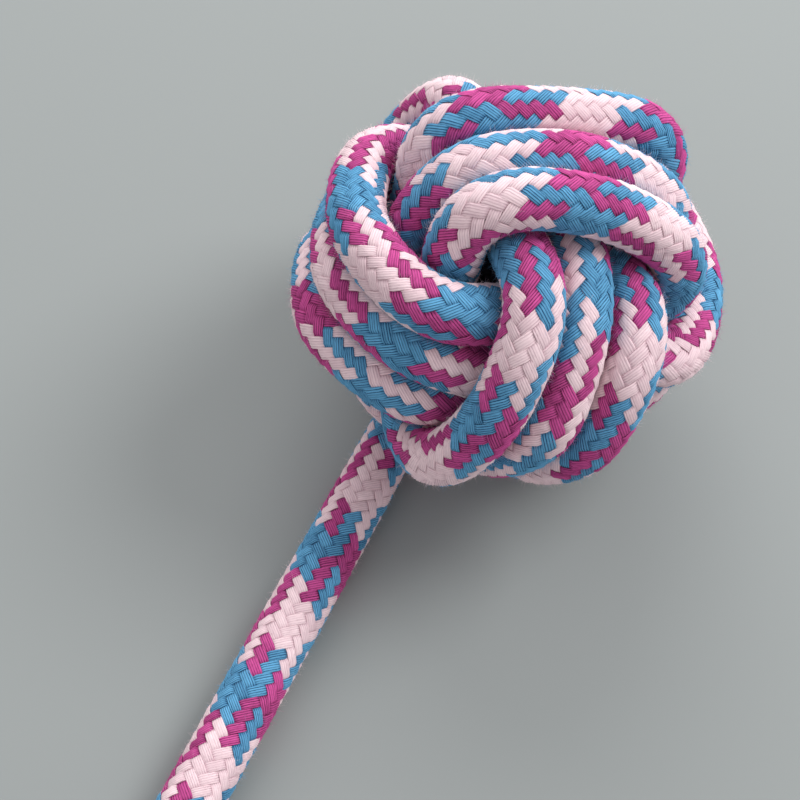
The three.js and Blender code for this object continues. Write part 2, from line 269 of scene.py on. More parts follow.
def ballLine():
    first, second, third = turnedDirections(tying["ballTurned"])
    inner = tying["turnPitch"] * (tying["stuffingPitches"] + 0.5)
    eighth = math.pi / 4
    heading, radius = unit(first * np.array([1, 1, 0])), tying["exitBendRadius"]
    tailHeading = np.array([0, -1, 0])
    exitAngle = math.acos(heading @ tailHeading)
    inward = unit(tailHeading - heading * math.cos(exitAngle))
    bendEnd = np.array([-tying["tailAside"], -tying["exitBendEnd"], restHeight])
    exitBend = [
        bendEnd + heading * radius * (math.sin(a) - math.sin(exitAngle))
        + inward * radius * (math.cos(exitAngle) - math.cos(a))
        for a in np.linspace(0, exitAngle, pulling["exitPoints"])]
    laid = [ballCentre + unit(third - first - second) * inner]
    quarters = 4 * tying["turnsEachWay"]
    laid += layBundle(first, second, third, 5 * eighth, -1, 1, quarters)
    laid += layBundle(second, third, first, 5 * eighth, -1, -1, quarters)
    laid += layBundle(third, first, second, 3 * eighth, -1, 1, quarters - 0.5)
    laid += exitBend + [np.array([-tying["tailAside"], -woundEnd, restHeight])]
    held = exitAngle * radius + tying["exitStraight"]
    return pullTight(
        np.array(laid), tying["turnPitch"], woundRadius - tying["ballFlatDepth"],
        pulling["ballRounds"], 1, math.floor(held / (pulling["step"] * tying["turnPitch"])), inner)


def tailLine():
    ahead = np.arange(woundEnd + pulling["tailStep"], farTailEnd, pulling["tailStep"])
    climbed = smoothStep(ahead, bendPivot + ropeRadius,
                         farTailEnd - tying["climbEnd"] * tying["ropeDiameter"])
    return np.stack([np.full_like(ahead, -tying["tailAside"]), -ahead,
                     restHeight + tying["tailRise"] * climbed], axis=1)


def knotLine():
    # An overhand knot, laid as the long open trefoil curve
    t = np.linspace(tying["trefoilEnd"], -tying["trefoilEnd"], tying["trefoilPoints"])
    trefoil = np.stack([t ** 3 - 3 * t, -(t ** 5 - 10 * t), t ** 4 - 4 * t ** 2], axis=1)
    middle = np.array([-tying["tailAside"], -(knotStart + knotEnd) / 2, knotHeight])
    start = np.array([-tying["tailAside"], -knotStart, knotHeight])
    end = np.array([-tying["tailAside"], -knotEnd, knotHeight])
    straight = np.array([0, -tying["ropeDiameter"], 0])
    laid = trefoil * np.array(tying["trefoilSize"]) * tying["knotPitch"] + middle
    held = math.ceil(tying["ropeDiameter"] / (pulling["step"] * tying["knotPitch"]))
    return pullTight(
        np.concatenate([[start, start + straight], laid, [end - straight, end]]),
        tying["knotPitch"], knotRadius, pulling["knotRounds"], held, held)


def curved(points, perSpan):
    # A smooth curve through the points
    padded = np.concatenate([[2 * points[0] - points[1]], points, [2 * points[-1] - points[-2]]])
    before, start, end, after = padded[:-3], padded[1:-2], padded[2:-1], padded[3:]
    t = np.linspace(0, 1, perSpan, endpoint=False)[None, :, None]
    spans = 0.5 * (2 * start[:, None] + (end - before)[:, None] * t
                   + (2 * before - 5 * start + 4 * end - after)[:, None] * t ** 2
                   + (3 * start - before - 3 * end + after)[:, None] * t ** 3)
    return np.concatenate([spans.reshape(-1, 3), points[-1:]])


wound = ballLine()
knotted = knotLine()
whole = np.concatenate([wound, tailLine(), knotted]) + shift
ropeLine = curved(whole, pulling["pointsPerSpan"])
ropeLine = respaced(ropeLine, round(lengthsAlong(ropeLine)[-1]))     # a point every millimetre
ropeLength = lengthsAlong(ropeLine)[-1]
ballCentre = ballCentre + shift
print("rope laid:", round(ropeLength), "mm; ball", round(lengthsAlong(wound)[-1]),
      "mm; knot", round(lengthsAlong(knotted)[-1]), "mm")


def makeCamera():
    bearing, elevation = math.radians(view["bearing"]), math.radians(view["elevation"])
    right = np.array([math.cos(bearing), math.sin(bearing), 0])
    back = np.array([math.sin(bearing) * math.cos(elevation),
                     -math.cos(bearing) * math.cos(elevation), math.sin(elevation)])
    perPixel = view["distance"] * view["sensor"] / view["lens"] / view["picture"]
    across = (view["ballPixel"][0] - view["picture"] / 2) * perPixel
    above = (view["picture"] / 2 - view["ballPixel"][1]) * perPixel
    place = (ballCentre - right * across - np.cross(back, right) * above
             + back * view["distance"])
    data = bpy.data.cameras.new("camera")
    data.lens, data.sensor_width = view["lens"], view["sensor"]
    data.clip_start, data.clip_end = view["clips"]
    bpy.context.scene.camera = pointObject("camera", data, right, back, place)
    return back


toCamera = makeCamera()


# The braid: 12 carriers each way, each a flat ribbon of five threads that passes over two of
# the others and under two. Lengths are in mm.

braid = {
    "carriersEachWay": 12,          # and rows in a pitch
    "pitch": 32.64,             # length in which a carrier goes once round
    "rightward": "MMMBBBBWWWWW",    # magenta, blue and white, in the order of the rows
    "leftward": "BBBBMMMMWWWW",
    "halfWidth": 1.06,
    "halfThickness": 0.33,
    "rise": 0.31,               # how far a ribbon's middle swings out and in
    "flatness": 1.7,            # how soon it reaches that
    "reach": 1.5,               # a float's half length in crossings, what is tucked under too
    "sides": 24,                # of the skin under the floats
    "skinMargin": 6,            # how far the skin goes on past a piece's rows
    "unevenLift": 0.06,
    "unevenWidth": 0.08,
    "seed": 5,
}
rowLength = braid["pitch"] / braid["carriersEachWay"]
pressing = {
    "ballRadius": 5.8, "tailRadius": 6.0, "hardness": 18, "leastAlong": 14, "floorGap": 0.15,
    "spread": 2.0, "bulgeShare": 0.8,
    "reach": 2.2,               # rope radii within which another turn can press
    "leastFacing": 0.01,        # of a direction that still counts as towards it
    "unpressed": 1000,          # mm, where nothing presses
    "rounds": 2,                # of bulging elsewhere by what the pressing takes away
}
standOff = braid["halfThickness"] + braid["rise"]


def spreadAlong(values, width):
    # A soft average along the rope
    reach = 3 * math.ceil(width)
    offsets = np.arange(-reach, reach + 1)
    weights = np.exp(-0.5 * (offsets / width) ** 2)
    padded = np.pad(values, ((reach, reach),) + ((0, 0),) * (values.ndim - 1), "edge")
    return sum(w * padded[i:i + len(values)] for i, w in enumerate(weights)) / weights.sum()


def turnedFrames(line, start, faceTo):
    # Directions across the rope that never twist about it, from one that faces the camera
    tangents = unit(np.gradient(line, axis=0))
    facing = np.zeros_like(line)
    facing[start] = faceTo
    for i in list(range(start, len(line))) + list(range(start, -1, -1)):
        before = facing[start] if i == start else facing[i - 1 if i > start else i + 1]
        facing[i] = unit(before - tangents[i] * (before @ tangents[i]))
    return facing, np.cross(facing, tangents)


def pressedRadii(line, outward):
    # How far the rope's surface stands off its line each way, flat where it meets a neighbour
    freed = smoothStep(ballCentre[1] - line[:, 1], tying["exitBendEnd"], swingPivot)
    free = (pressing["ballRadius"]
            + (pressing["tailRadius"] - pressing["ballRadius"]) * freed)[:, None]
    limits = np.full(outward.shape[:2], float(pressing["unpressed"]))
    order = np.arange(len(line))
    for i in order:
        toward = line - line[i]
        far = np.linalg.norm(toward, axis=1)
        near = (far < pressing["reach"] * free[i]) & (abs(order - i) > pressing["leastAlong"])
        along = outward[i] @ toward[near].T
        half = far[near] ** 2 / 2 / np.maximum(along, pressing["leastFacing"])
        limits[i] = np.minimum(limits[i], half.min(axis=1, initial=pressing["unpressed"]))
    down = np.maximum(-outward[:, :, 2], pressing["leastFacing"])
    limits = np.minimum(limits, (line[:, None, 2] - pressing["floorGap"]) / down)
    radii = np.broadcast_to(free, limits.shape)
    for _ in range(pressing["rounds"]):
        lost = np.maximum(free - radii.mean(axis=1, keepdims=True), 0)
        bulged = free + pressing["bulgeShare"] * lost
        hardness = pressing["hardness"]
        radii = (bulged ** -hardness + limits ** -hardness) ** (-1 / hardness)
    return spreadAlong(radii, pressing["spread"])


# The braid is slid along the rope and rolled round it, so that the colours come where the
# photo has them. Each stretch in sight has its own place in mm along the rope.
laying = {
    "at": (142, 337, 528, 692, 905, 1112, 1221, 1414, 1606, 1785),
    "slid": (6, 2.5, 1.5, -7, -2.5, -0.5, 5.5, 4, -7, -1),              # mm
    "rolled": (165, -12, 20, -64, -124, -212, -284, -304, -288, -390),  # degrees
    "steady": 27,               # mm each way from there in which neither changes
    "smoothed": 1.5,            # mm over which the line is smoothed first
}


def laidAt(wanted, values):
    places = [at - slid + way * laying["steady"]
              for at, slid in zip(laying["at"], laying["slid"]) for way in (-1, 1)]
    return np.interp(wanted, places, np.repeat(values, 2))


smoothLine = spreadAlong(ropeLine, laying["smoothed"])
tailMiddle = int(np.argmin(np.linalg.norm(smoothLine - jointPlaces["tail_bend"], axis=1)))
facing, sideways = turnedFrames(smoothLine, tailMiddle, toCamera)
runs = np.arange(len(smoothLine) - laying["slid"][-1])
slidTo = runs + laidAt(runs, laying["slid"])
ropeLine, facing, sideways = [
    pointsAt(field, np.arange(len(field)), slidTo) for field in (smoothLine, facing, sideways)]
angles = np.radians(laidAt(runs, laying["rolled"])[:, None]
                    + 360 / braid["sides"] * np.arange(braid["sides"]))[:, :, None]
directions = unit(facing[:, None] * np.cos(angles) + sideways[:, None] * np.sin(angles))
ropeRadii = pressedRadii(ropeLine, directions)
print("skin pressed:", ropeRadii.min().round(2), "to", ropeRadii.max().round(2), "mm")


def tubeFaces(rings, sides):
    faces = [
        (i * sides + k, (i + 1) * sides + k,
         (i + 1) * sides + (k + 1) % sides, i * sides + (k + 1) % sides)
        for i in range(rings - 1) for k in range(sides)]
    faces.append(tuple(range(sides)))
    faces.append(tuple((rings - 1) * sides + k for k in reversed(range(sides))))
    return faces


def skinObject(name, inset, first, last, every=1, sidesEvery=1):
    # The rope's surface, set in by so many mm, as one closed tube
    rings = np.arange(first, last + 1, every)
    sides = np.arange(0, braid["sides"], sidesEvery)
    radii = ropeRadii[np.ix_(rings, sides)] - inset
    points = ropeLine[rings][:, None] + directions[np.ix_(rings, sides)] * radii[:, :, None]
    return meshObject(name, points.reshape(-1, 3), tubeFaces(len(rings), len(sides)))


def ribbonFloat():
    # One float of a carrier as a unit shape: u along, v across, w out, with five threads
    across = [-1, -0.8, -0.6, -0.4, -0.2, 0, 0.2, 0.4, 0.6, 0.8, 1, 0]
    out = [0.1, 0.85, 0.35, 0.97, 0.48, 1, 0.48, 0.97, 0.35, 0.85, 0.1, -0.9]
    stations = [(-1, 0.8, 0.6), (-0.7, 0.97, 0.95), (-0.4, 1, 1),
                (0.4, 1, 1), (0.7, 0.97, 0.95), (1, 0.8, 0.6)]
    count = len(across)
    points = [(u, v * wide, w * thick) for u, wide, thick in stations
              for v, w in zip(across, out)]
    faces = [
        (i * count + k, i * count + (k + 1) % count,
         (i + 1) * count + (k + 1) % count, (i + 1) * count + k)
        for i in range(len(stations) - 1) for k in range(count)]
    faces.append(tuple(reversed(range(count))))
    faces.append(tuple((len(stations) - 1) * count + k for k in range(count)))
    return meshObject("ribbonFloat", np.array(points) / mm, faces)


def numberedCopies(add, shape, count, first):
    # Copies of a unit shape, numbered on from the first before they are placed
    line = add("GeometryNodeMeshLine", {"Count": count, "Offset": (0, 0, 0)})
    index = add("GeometryNodeInputIndex")
    numbered = add(mathNode, {0: index, 1: first}, operation="ADD")
    counted = add("GeometryNodeStoreNamedAttribute",
                  {"Geometry": line, "Name": "number", "Value": numbered}, data_type="FLOAT",
                  domain="POINT")
    source = add("GeometryNodeObjectInfo", {"Object": shape})
    placed = add("GeometryNodeInstanceOnPoints",
                 {"Points": counted, "Instance": source.outputs["Geometry"]})
    loose = add("GeometryNodeRealizeInstances", {"Geometry": placed})
    return loose, add("GeometryNodeInputNamedAttribute", {"Name": "number"}, data_type="FLOAT")


def chancesOf(add, number, seed, least, count):
    # Random values up to 1 that stay the same all over a numbered copy
    chances = []
    for i in range(count):
        seeded = add(mathNode, {0: seed, 1: i}, operation="ADD")
        chances.append(add("FunctionNodeRandomValue",
                           {"Min": least, "Max": 1.0, "ID": number, "Seed": seeded},
                           data_type="FLOAT"))
    return chances


def dyedShape(add, shape, given):
    # Each float or hair takes the material whose number it keeps as its colour
    dye = add("GeometryNodeInputNamedAttribute", {"Name": "colour"}, data_type="FLOAT")
    for i, name in enumerate(dyes):
        chosen = add("FunctionNodeCompare", {"A": dye, "B": float(i), "Epsilon": 0.1},
                     data_type="FLOAT", operation="EQUAL")
        shape = add("GeometryNodeSetMaterial",
                    {"Geometry": shape, "Selection": chosen, "Material": given[name]})
    return shape


def braidTree():
    # Every float is placed by its number: its row along the rope and its column round it
    tree, add, given = newTree("braidOfFloats", {
        "Geometry": ["Skin"], "Object": ["Float shape", "Carrier colours"],
        "Int": ["First row", "Rows", "Seed"],
        "Float": ["Skin starts at", "Row length", "Radius", "Half width", "Half thickness",
                  "Rise", "Flatness", "Reach", "Uneven lift", "Uneven width"],
        "Material": dyes}, "Braid")
    columns = braid["carriersEachWay"]
    count = add(mathNode, {0: given["Rows"], 1: columns}, operation="MULTIPLY")
    before = add(mathNode, {0: given["First row"], 1: columns}, operation="MULTIPLY")
    loose, number = numberedCopies(add, given["Float shape"], count, before)

    # Row, column and the way a float leans
    rowShare = add(mathNode, {0: number, 1: columns}, operation="DIVIDE")
    row = add(mathNode, {0: rowShare}, operation="FLOOR")
    column = add(mathNode, {0: number, 1: columns}, operation="FLOORED_MODULO")
    half = columns / 2
    leftward = add(mathNode, {0: column, 1: half - 0.5}, operation="GREATER_THAN")
    place = add(mathNode, {0: column, 1: half}, operation="FLOORED_MODULO")
    sense = add(mathNode, {0: leftward, 1: -2, 2: 1}, operation="MULTIPLY_ADD")

    # Where each point of a float lies: mm along the rope and round it
    spot = add("GeometryNodeInputPosition")
    parts = add("ShaderNodeSeparateXYZ", {0: spot}).outputs
    uneven = chancesOf(add, number, given["Seed"], -1.0, 4)
    crossing = add(mathNode, {0: parts["X"], 1: given["Reach"]}, operation="MULTIPLY")
    widened = add(mathNode, {0: uneven[0], 1: given["Uneven width"], 2: 1},
                  operation="MULTIPLY_ADD")
    wide = add(mathNode, {0: widened, 1: given["Half width"]}, operation="MULTIPLY")
    across = add(mathNode, {0: parts["Y"], 1: wide}, operation="MULTIPLY")
    roundStep = add(mathNode, {0: given["Radius"], 1: math.pi / columns}, operation="MULTIPLY")
    alongStep = add(mathNode, {0: given["Row length"], 1: 2}, operation="DIVIDE")
    roundSquare = add(mathNode, {0: roundStep, 1: 2}, operation="POWER")
    bothSquares = add(mathNode, {0: alongStep, 1: alongStep, 2: roundSquare},
                      operation="MULTIPLY_ADD")
    slant = add(mathNode, {0: bothSquares}, operation="SQRT")
    acrossShare = add(mathNode, {0: across, 1: slant}, operation="DIVIDE")

    quarter = add(mathNode, {0: leftward, 1: 0.5, 2: 0.25}, operation="MULTIPLY_ADD")
    rowMiddle = add(mathNode, {0: row, 1: quarter}, operation="ADD")
    middle = add(mathNode, {0: rowMiddle, 1: given["Row length"]}, operation="MULTIPLY")
    leaning = add(mathNode, {0: crossing, 1: sense}, operation="MULTIPLY")
    run = add(mathNode, {0: leaning, 1: alongStep, 2: middle}, operation="MULTIPLY_ADD")
    along = add(mathNode, {0: acrossShare, 1: roundStep, 2: run}, operation="MULTIPLY_ADD")
    back = add(mathNode, {0: acrossShare, 1: alongStep}, operation="MULTIPLY")
    backward = add(mathNode, {0: back, 1: sense}, operation="MULTIPLY")
    sweep = add(mathNode, {0: crossing, 1: roundStep}, operation="MULTIPLY")
    arc = add(mathNode, {0: sweep, 1: backward}, operation="SUBTRACT")
    arcTurn = add(mathNode, {0: arc, 1: given["Radius"]}, operation="DIVIDE")
    columnTurn = add(mathNode, {0: place, 1: 2 * math.pi / half, 2: arcTurn},
                     operation="MULTIPLY_ADD")
    startTurn = add(mathNode, {0: leftward, 1: math.pi / half, 2: math.pi / 4 / half},
                    operation="MULTIPLY_ADD")
    turn = add(mathNode, {0: columnTurn, 1: startTurn}, operation="ADD")

    # The skin there, between its four nearest points
    ring = add(mathNode, {0: along, 1: given["Skin starts at"]}, operation="SUBTRACT")
    side = add(mathNode, {0: turn, 1: braid["sides"] / 2 / math.pi}, operation="MULTIPLY")
    ringFloor = add(mathNode, {0: ring}, operation="FLOOR")
    sideFloor = add(mathNode, {0: side}, operation="FLOOR")
    ringShare = add(mathNode, {0: ring}, operation="FRACT")
    sideShare = add(mathNode, {0: side, 1: sideFloor}, operation="SUBTRACT")
    normal = add("GeometryNodeInputNormal")
    mixes = []
    for field in (spot, normal):
        corners = []
        for aheadBy in (0, 1):
            for roundBy in (0, 1):
                atRing = add(mathNode, {0: ringFloor, 1: aheadBy}, operation="ADD")
                atSide = add(mathNode, {0: sideFloor, 1: roundBy}, operation="ADD")
                wrapped = add(mathNode, {0: atSide, 1: braid["sides"]}, operation="FLOORED_MODULO")
                at = add(mathNode, {0: atRing, 1: braid["sides"], 2: wrapped},
                         operation="MULTIPLY_ADD")
                corners.append(add(
                    "GeometryNodeSampleIndex",
                    {"Geometry": given["Skin"], "Value": field, "Index": at},
                    data_type="FLOAT_VECTOR", domain="POINT", clamp=True))
        pairs = [add("ShaderNodeMix", {"Factor": sideShare, "A": corners[i], "B": corners[i + 1]},
                     data_type="VECTOR") for i in (0, 2)]
        mixes.append(add("ShaderNodeMix", {"Factor": ringShare, "A": pairs[0], "B": pairs[1]},
                         data_type="VECTOR"))

    # Over two and under two: the ribbon's middle swings out and in along its float
    swing = add(mathNode, {0: crossing, 1: math.pi / 2}, operation="MULTIPLY")
    swung = add(mathNode, {0: swing}, operation="COSINE")
    steeper = add(mathNode, {0: swung, 1: given["Flatness"]}, operation="MULTIPLY")
    below = add(mathNode, {0: steeper, 1: 1.0}, operation="MINIMUM")
    levelled = add(mathNode, {0: below, 1: -1.0}, operation="MAXIMUM")
    risen = add(mathNode, {0: levelled, 1: given["Rise"]}, operation="MULTIPLY")
    thick = add(mathNode, {0: parts["Z"], 1: given["Half thickness"], 2: risen},
                operation="MULTIPLY_ADD")
    lifted = add(mathNode, {0: uneven[1], 1: given["Uneven lift"], 2: thick},
                 operation="MULTIPLY_ADD")
    height = add(mathNode, {0: lifted, 1: mm}, operation="MULTIPLY")
    outward = add("ShaderNodeVectorMath", {0: mixes[1], "Scale": height}, operation="SCALE")
    there = add("ShaderNodeVectorMath", {0: mixes[0], 1: outward}, operation="ADD")

    # What the cotton's finish reads: mm along a thread, place across, and the float's own random
    # tones with its height, which the finish uses for painted light and shade
    threadRun = add(mathNode, {0: crossing, 1: slant}, operation="MULTIPLY")
    thread = add("ShaderNodeCombineXYZ", {0: threadRun, 1: parts["Y"], 2: number})
    tone = add("ShaderNodeCombineXYZ", {0: uneven[2], 1: parts["Z"], 2: uneven[3]})

    # A carrier keeps its colour all along the rope
    turned = add(mathNode, {0: place, 1: sense}, operation="MULTIPLY")
    twice = add(mathNode, {0: turned, 1: -2, 2: row}, operation="MULTIPLY_ADD")
    carrier = add(mathNode, {0: twice, 1: columns}, operation="FLOORED_MODULO")
    carrierAt = add(mathNode, {0: leftward, 1: columns, 2: carrier}, operation="MULTIPLY_ADD")
    colours = add("GeometryNodeObjectInfo", {"Object": given["Carrier colours"]})
    colour = add("GeometryNodeSampleIndex",
                 {"Geometry": colours.outputs["Geometry"], "Value": spot, "Index": carrierAt},
                 data_type="FLOAT_VECTOR", domain="POINT")
    dye = add("ShaderNodeSeparateXYZ", {0: colour}).outputs["X"]
    for name, value, kind in (("thread", thread, "FLOAT_VECTOR"), ("tone", tone, "FLOAT_VECTOR"),
                              ("colour", dye, "FLOAT")):
        loose = add("GeometryNodeStoreNamedAttribute",
                    {"Geometry": loose, "Name": name, "Value": value}, data_type=kind,
                    domain="POINT")
    laid = add("GeometryNodeSetPosition", {"Geometry": loose, "Position": there})
    add("NodeGroupOutput", {"Braid": dyedShape(add, laid, given)})
    return tree


def grown(name, source, tree, values):
    # Runs a tree on an object and keeps the result as a plain mesh
    modifier = source.modifiers.new("grown", "NODES")
    modifier.node_group = tree
    for item in tree.interface.items_tree:
        if item.in_out == "INPUT" and item.name in values:
            modifier[item.identifier] = values[item.name]
    graph = bpy.context.evaluated_depsgraph_get()
    mesh = bpy.data.meshes.new_from_object(source.evaluated_get(graph))
    mesh.name = name
    mesh.polygons.foreach_set("use_smooth", [True] * len(mesh.polygons))
    source.modifiers.remove(modifier)
    return newObject(name, mesh)


# Finishes

cotton = {
    "threads": 5,               # in a ribbon
    "fibreLength": 1.3,         # mm that a fibre shows before it dips
    "fibreWidth": 0.1,          # of the ribbon's half width, coarser than a real fibre
    "streaks": 1.05,            # how strongly the fibres show
    "paintedGapShade": {"magenta": 0.8, "blue": 1.0, "white": 0.5, "filler": 0.8},  # painted shade between threads, for each dye
    "tuckedAt": (1.1, 2.2),     # mm from a float's middle, where it starts to dip and where it is under; painted shade grows across this
    "tuckedPaintedShade": 0.35,
    "leastGap": 0.25,           # how open the most closed gap is
    "gapFrom": 0.24,            # of a thread's width from its middle, where its gap starts
    "gapDepth": 0.8, "bumpHeight": 0.12, "bumpStrength": 0.7,
    "fibreBend": 0.12,          # of the ribbon's half width, how far a thread wavers
    "threadsAside": 0.15,       # of a thread's width, so that they aren't centred
    "floatApart": 1.7,          # how far apart in the pattern two floats are
    # the thread and float tones differ at random; the height one is painted light on a thread's
    # high points and painted shade on its low ones
    "threadTone": 0.2, "floatTone": 0.14, "paintedLightByHeight": 0.3,
    "magenta": ("#DB5CA4", "#520F39"),      # painted lit colour on a thread's crown, and painted shade colour low in a gap
    "blue": ("#6FB6E0", "#15426A"),
    "white": ("#FFE6EA", "#CBA9B4"),
    # the filler's grey is made dark as painted shade for the inside of the braid and the ball
    "filler": ("#5B5560", "#2A262D"),
}


def dyedCotton(name, dye):
    # Soft-spun cotton yarn, braided: quite matt, with fibres along each thread, painted shade in a
    # dark line between threads, at a float's ends and on its low parts, and a pale bloom of lint
    # at grazing angles
    # The dye's lit colour and its painted shade colour: fibres, random tints and painted shade mix
    # between them
    litDyeColour, shadedDyeColour = [linear(colour) for colour in cotton[dye]]
    made, add = newMaterial(name)
    thread = add("ShaderNodeAttribute", attribute_name="thread").outputs["Vector"]
    spots = add("ShaderNodeSeparateXYZ", {0: thread}).outputs
    tone = add("ShaderNodeAttribute", attribute_name="tone").outputs["Vector"]
    tones = add("ShaderNodeSeparateXYZ", {0: tone}).outputs
    perFibre = (1 / cotton["fibreLength"], 1 / cotton["fibreWidth"], cotton["floatApart"])
    squeezed = add("ShaderNodeVectorMath", {0: thread, 1: perFibre}, operation="MULTIPLY")
    fibres = add("ShaderNodeTexNoise",
                 {"Vector": squeezed, "Scale": 1.0, "Detail": 3.0, "Roughness": 0.65})

    # How far a spot is from its thread's middle: 0 there, 1 between two threads
    half = cotton["threads"] / 2
    strayed = add(mathNode, {0: fibres.outputs[0], 1: cotton["fibreBend"], 2: spots["Y"]},
                  operation="MULTIPLY_ADD")
    counted = add(mathNode, {0: strayed, 1: half, 2: half - cotton["threadsAside"]},
                  operation="MULTIPLY_ADD")
    within = add(mathNode, {0: counted}, operation="FRACT")
    centred = add(mathNode, {0: within, 1: 0.5}, operation="SUBTRACT")
    offMiddle = add(mathNode, {0: centred}, operation="ABSOLUTE")
    line = add("ShaderNodeMapRange", {0: offMiddle, 1: cotton["gapFrom"], 2: 0.5, 3: 0.0, 4: 1.0},
               interpolation_type="SMOOTHSTEP")

    # Some gaps between threads are open, sunk and darkened with painted shade, others closed, and
    # no two threads quite match
    gap = add(mathNode, {0: counted, 1: 0.5}, operation="ADD")
    chances = []
    for place in (gap, counted):
        thread = add(mathNode, {0: place}, operation="FLOOR")
        both = add("ShaderNodeCombineXYZ", {0: thread, 1: spots["Z"]})
        chances.append(add("ShaderNodeTexWhiteNoise", {"Vector": both}).outputs[0])
    opened = add("ShaderNodeMapRange",
                 {0: chances[0], 1: 0.0, 2: 1.0, 3: cotton["leastGap"], 4: 1.0})
    valley = add(mathNode, {0: line, 1: opened}, operation="MULTIPLY")
    threadTone = add(mathNode,
                     {0: chances[1], 1: cotton["threadTone"], 2: -cotton["threadTone"] / 2},
                     operation="MULTIPLY_ADD")
    # Painted light on a thread's higher points and painted shade on its lower ones, plus the
    # thread's random tint
    paintedHeightLightAndThreadTone = add(mathNode, {0: tones["Y"], 1: cotton["paintedLightByHeight"], 2: threadTone},
                operation="MULTIPLY_ADD")
    streaked = add(mathNode, {0: fibres.outputs[0], 1: cotton["streaks"], 2: paintedHeightLightAndThreadTone},
                   operation="MULTIPLY_ADD")
    # Painted shade darkens the gaps between threads
    withPaintedGapShade = add(mathNode, {0: valley, 1: -cotton["paintedGapShade"][dye], 2: streaked},
                operation="MULTIPLY_ADD")
    # Painted shade where a float dips under its neighbours
    offRun = add(mathNode, {0: spots["X"]}, operation="ABSOLUTE")
    dipsFrom, dipsTo = cotton["tuckedAt"]
    tucked = add("ShaderNodeMapRange",
                 {0: offRun, 1: dipsFrom, 2: dipsTo, 3: 0.0, 4: cotton["tuckedPaintedShade"]},
                 interpolation_type="SMOOTHSTEP")
    withPaintedTuckShade = add(mathNode, {0: withPaintedGapShade, 1: tucked}, operation="SUBTRACT")
    share = add(mathNode, {0: tones["X"], 1: cotton["floatTone"], 2: withPaintedTuckShade},
                operation="MULTIPLY_ADD", use_clamp=True)
    colour = add("ShaderNodeMix", {"Factor": share, "A": shadedDyeColour, "B": litDyeColour}, data_type="RGBA")
    relief = add(mathNode, {0: valley, 1: -cotton["gapDepth"], 2: fibres.outputs[0]},
                 operation="MULTIPLY_ADD")
    bump = add("ShaderNodeBump",
               {"Height": relief, "Strength": cotton["bumpStrength"],
                "Distance": cotton["bumpHeight"] * mm})
    shader = add("ShaderNodeBsdfPrincipled",
                 {"Base Color": colour, "Roughness": 0.92, "Normal": bump,
                  "Specular IOR Level": 0.2, "Sheen Weight": 0.3, "Sheen Roughness": 0.45,
                  "Sheen Tint": litDyeColour})
    add("ShaderNodeOutputMaterial", {"Surface": shader})
    return made


yarns = {name: dyedCotton(name.lower() + "CottonYarn", name.lower()) for name in dyes}
fillerCottonWithPaintedShade = dyedCotton("greyFillerYarnWithPaintedShade", "filler")


# The braid, in pieces: those on the ball and the knot each ride one body, and the tail's two are
# left without one

carrierColours = meshObject(
    "carrierColours",
    np.array([[[dye[0] for dye in dyes].index(letter), 0, 0]
              for letter in braid["rightward"] + braid["leftward"]]) / mm, [])
floatShape = ribbonFloat()
floats = braidTree()


def braidPiece(name, first, end):
    firstRing = max(int(first * rowLength) - braid["skinMargin"], 0)
    lastRing = min(int(end * rowLength) + braid["skinMargin"], len(ropeLine) - 1)
    skin = skinObject("skin", standOff, firstRing, lastRing)
    made = grown(name, skin, floats, {
        "Float shape": floatShape, "Carrier colours": carrierColours,
        "First row": first, "Rows": end - first, "Skin starts at": float(firstRing),
        "Row length": rowLength, "Radius": ropeRadius - standOff,
        "Half width": braid["halfWidth"], "Half thickness": braid["halfThickness"],
        "Rise": braid["rise"], "Flatness": braid["flatness"], "Reach": braid["reach"],
        "Uneven lift": braid["unevenLift"], "Uneven width": braid["unevenWidth"],
        "Seed": braid["seed"], **yarns})
    bpy.data.objects.remove(skin)
    return made


# Where the rope is parted, and where it bends with the joints, in mm
parting = {
    "nearLength": 76,           # of the tail's first piece, which starts in the way out
    "swingsBefore": 20,         # how far each way from the throat's pivot the rope bends
    "bendsBefore": 23,          # and from the pivot halfway along
    "clearOfBend": 2,
    "knotLeadIn": 6,
    "endShort": 4,              # left over at the frayed end
    "ballPieces": 7,
    "cordStep": 4,              # between the points of a cord's path
}


def ringAt(ahead, height=restHeight):
    # The rope's own millimetre that lies so far along the tail from under the ball's middle
    place = shift + np.array([-tying["tailAside"], -ahead, height])
    return int(np.argmin(np.linalg.norm(ropeLine - place, axis=1)))


farRow = round(ringAt(bendPivot - parting["bendsBefore"] - parting["clearOfBend"]) / rowLength)
nearRow = farRow - math.ceil(parting["nearLength"] / rowLength)
knotRow = round(ringAt(knotStart + parting["knotLeadIn"], knotHeight) / rowLength)
lastRow = math.floor((len(ropeLine) - parting["endShort"]) / rowLength)
nearRing, farRing, knotRing = [round(row * rowLength) for row in (nearRow, farRow, knotRow)]
ballRows = [round(i * nearRow / parting["ballPieces"]) for i in range(parting["ballPieces"] + 1)]
ballPieces = [braidPiece(f"ball_braid_{i + 1}", ballRows[i], ballRows[i + 1])
              for i in range(parting["ballPieces"])]
nearBraid = braidPiece("tail_braid_near", nearRow, farRow)
farBraid = braidPiece("tail_braid_far", farRow, knotRow)
knotBraid = braidPiece("knot_braid", knotRow, lastRow)
print("braided:", lastRow * braid["carriersEachWay"], "floats;", "most faces in a piece:",
      max(len(piece.data.polygons) for piece in ballPieces + [knotBraid]))
bpy.data.objects.remove(carrierColours)
bpy.data.objects.remove(floatShape)


def bendsWithSwing(piece):
    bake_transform(piece)


def bendsWithTail(piece):
    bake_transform(piece)


